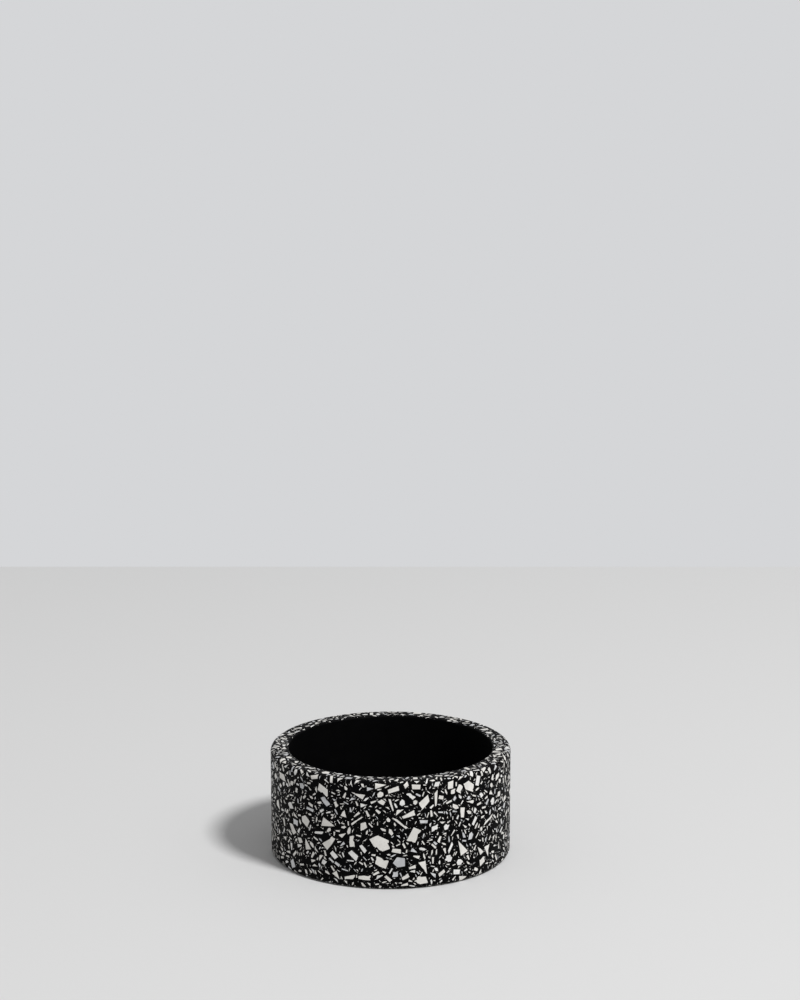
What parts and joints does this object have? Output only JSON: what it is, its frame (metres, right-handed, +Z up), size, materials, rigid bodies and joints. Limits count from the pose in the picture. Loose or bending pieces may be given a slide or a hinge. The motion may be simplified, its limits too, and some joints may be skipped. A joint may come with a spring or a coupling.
{
  "type": "wine bottle coaster",
  "caption": "Squat round terrazzo cup, ground flush with marble chips set in black cement, that stands on a cork pad and holds the foot of a bottle.",
  "frame": {"origin": "on the table, under the middle of the cork pad, on the axis of the cup", "axes": "+Z up along the axis of the bore; the front of the picture faces -Y, with +X to its right"},
  "size_m": [0.106, 0.106, 0.048],
  "materials": {
    "cement": "black cement, honed outside and as cast inside",
    "cream_marble": "honed cream marble",
    "white_marble": "honed white marble",
    "grey_marble": "honed grey marble",
    "cork": "pressed cork, sanded",
    "adhesive": "clear acrylic adhesive film"
  },
  "bodies": {
    "root": {"cement_cup": "cement", "wall_coarse_cream_chips": "cream_marble", "wall_coarse_white_chips": "white_marble", "wall_coarse_grey_chips": "grey_marble", "wall_medium_cream_chips": "cream_marble", "wall_medium_white_chips": "white_marble", "wall_medium_grey_chips": "grey_marble", "wall_fine_cream_chips": "cream_marble", "wall_fine_white_chips": "white_marble", "wall_fine_grey_chips": "grey_marble", "rim_cream_chips": "cream_marble", "rim_white_chips": "white_marble", "rim_grey_chips": "grey_marble", "foot_cream_chips": "cream_marble", "foot_white_chips": "white_marble", "foot_grey_chips": "grey_marble", "cork_pad": "cork", "adhesive_film": "adhesive"}
  },
  "joints": []
}
